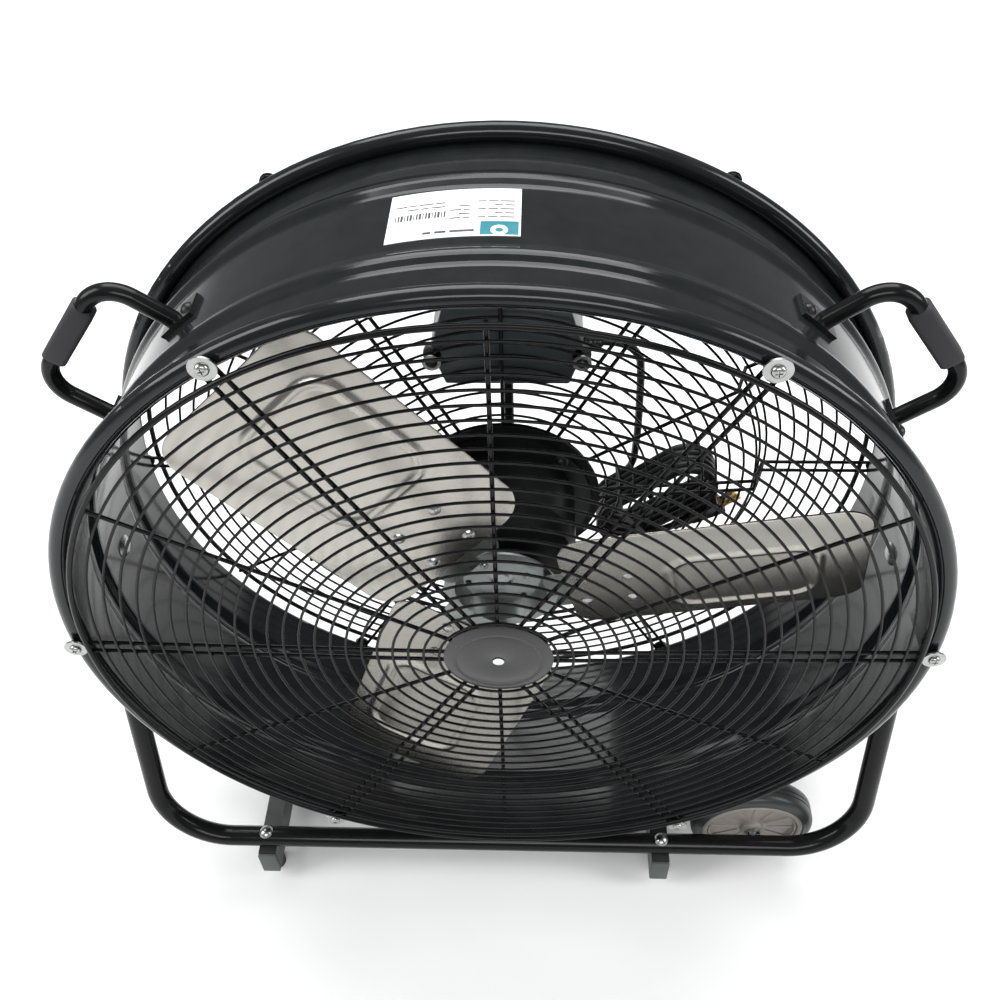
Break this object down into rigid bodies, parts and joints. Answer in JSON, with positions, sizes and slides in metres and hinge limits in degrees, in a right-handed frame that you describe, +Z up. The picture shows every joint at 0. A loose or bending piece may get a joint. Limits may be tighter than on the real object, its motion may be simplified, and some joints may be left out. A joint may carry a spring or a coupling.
{
  "type": "wheeled drum fan",
  "caption": "Large industrial drum fan with wire guards, sheet blades and a rear switch box, tilting in a round-tube stand with wheels on one side and feet on the other.",
  "frame": {"origin": "on the floor under the middle of the fan's bounding box, the free cord left out", "axes": "+Z up, -Y the way the air leaves, +X towards the wheels"},
  "size_m": [0.735, 0.2598, 0.757],
  "materials": {
    "frame_black": "satin black powder coat",
    "cross_black": "satin black paint",
    "drum_black": "gloss black enamel",
    "guard_black": "gloss black powder coat on wire",
    "motor_black": "satin black paint",
    "plate_grey": "dark grey paint",
    "zinc": "bright zinc plating",
    "black_screw": "black oxide",
    "brass": "yellow passivated steel",
    "bearing_steel": "ground steel",
    "shaft_steel": "turned steel",
    "rotor_steel": "laminated steel",
    "spider_steel": "galvanised sheet",
    "blade_aluminium": "rolled sheet",
    "rivet_aluminium": "bright",
    "box_plastic": "fine texture",
    "cap_plastic": "moulded",
    "endcap_plastic": "moulded",
    "knob_plastic": "moulded",
    "switch_plastic": "moulded",
    "grip_rubber": "matte",
    "foot_rubber": "matte",
    "cable_rubber": "satin PVC",
    "tyre_rubber": "satin",
    "hub_plastic": "moulded",
    "label_film": "printed film"
  },
  "bodies": {
    "stand": {"front_frame_tube": "frame_black", "rear_frame_tube": "frame_black", "cross_tube_left": "cross_black", "cross_tube_right": "cross_black", "end_caps": "endcap_plastic", "rubber_feet": "foot_rubber", "frame_bolts": "zinc", "frame_nuts": "zinc", "wheel_axle": "shaft_steel", "axle_collars": "zinc"},
    "drum": {"pivot_bolts": "zinc", "pivot_bushes": "black_screw", "pivot_lock_nuts": "zinc", "drum_shell": "drum_black", "front_guard_rings": "guard_black", "front_guard_spokes": "guard_black", "front_guard_cap": "cap_plastic", "front_cap_plate": "plate_grey", "front_cap_screw": "switch_plastic", "front_guard_washers": "zinc", "front_guard_screws": "zinc", "rear_guard_rings": "guard_black", "rear_guard_spokes": "guard_black", "rear_guard_screws": "black_screw", "motor_mount_plate": "plate_grey", "motor_body": "motor_black", "motor_flange": "motor_black", "motor_flange_screws": "brass", "mount_screws": "black_screw", "mount_washers": "zinc", "bearings": "bearing_steel", "motor_lead": "cable_rubber", "switch_box_base": "box_plastic", "switch_box_cover": "box_plastic", "rotary_switch": "switch_plastic", "run_capacitor": "switch_plastic", "cord_gland": "knob_plastic", "handle_left": "frame_black", "handle_right": "frame_black", "handle_grips": "grip_rubber", "handle_screws": "black_screw", "rating_label": "label_film", "power_cord": "cable_rubber", "cord_hank": "cable_rubber", "cord_tie": "knob_plastic", "power_plug": "knob_plastic"},
    "fan": {"motor_shaft": "shaft_steel", "motor_rotor": "rotor_steel", "hub_boss": "shaft_steel", "hub_spider": "spider_steel", "hub_screws": "zinc", "blade_1": "blade_aluminium", "blade_2": "blade_aluminium", "blade_3": "blade_aluminium", "blade_rivets": "rivet_aluminium"},
    "knob": {"switch_knob": "knob_plastic"},
    "front_wheel": {"front_wheel_tyre": "tyre_rubber", "front_wheel_hub": "hub_plastic"},
    "rear_wheel": {"rear_wheel_tyre": "tyre_rubber", "rear_wheel_hub": "hub_plastic"}
  },
  "joints": [
    {"name": "drum_tilt", "type": "hinge", "parent": "stand", "child": "drum", "pos_m": [0, -0.01715, 0.417], "axis": [-1, 0, 0], "range_deg": [-45, 90]},
    {"name": "fan_spin", "type": "hinge", "parent": "drum", "child": "fan", "pos_m": [0, -0.01715, 0.417], "axis": [0, 1, 0], "continuous": true},
    {"name": "knob_turn", "type": "hinge", "parent": "drum", "child": "knob", "pos_m": [0.004, 0.11485, 0.577], "axis": [0, 1, 0], "range_deg": [0, 135]},
    {"name": "front_wheel_spin", "type": "hinge", "parent": "stand", "child": "front_wheel", "pos_m": [0.252, -0.07915, 0.062], "axis": [0, 1, 0], "continuous": true},
    {"name": "rear_wheel_spin", "type": "hinge", "parent": "stand", "child": "rear_wheel", "pos_m": [0.252, 0.04485, 0.062], "axis": [0, 1, 0], "continuous": true}
  ]
}
